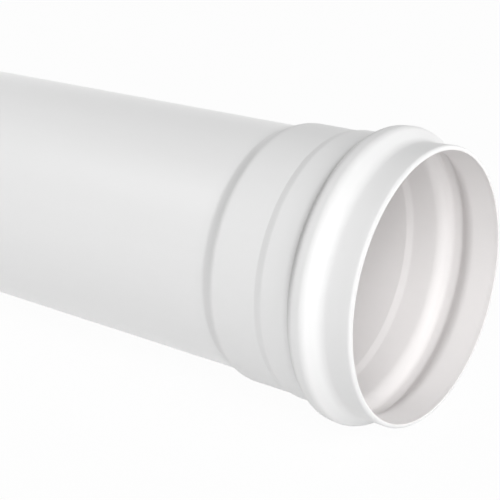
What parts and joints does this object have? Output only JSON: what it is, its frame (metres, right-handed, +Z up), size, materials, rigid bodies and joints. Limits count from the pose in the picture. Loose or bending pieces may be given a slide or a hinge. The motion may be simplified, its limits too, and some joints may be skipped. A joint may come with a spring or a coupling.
{
  "type": "pvc sewer pipe",
  "caption": "Straight white PVC sewer pipe with a plain chamfered spigot at one end and a belled ring-seal socket at the other, for push-fit drain lines.",
  "frame": {"origin": "on the pipe's axis at the bottom of the socket's seat, where the end of the next pipe stops", "axes": "+X along the pipe out of the socket's mouth, +Z up with the pipe lying on its side"},
  "size_m": [1, 0.117, 0.1172],
  "materials": {
    "pvc": "smooth extruded, soft gloss"
  },
  "bodies": {
    "root": {"pipe": "pvc"}
  },
  "joints": []
}
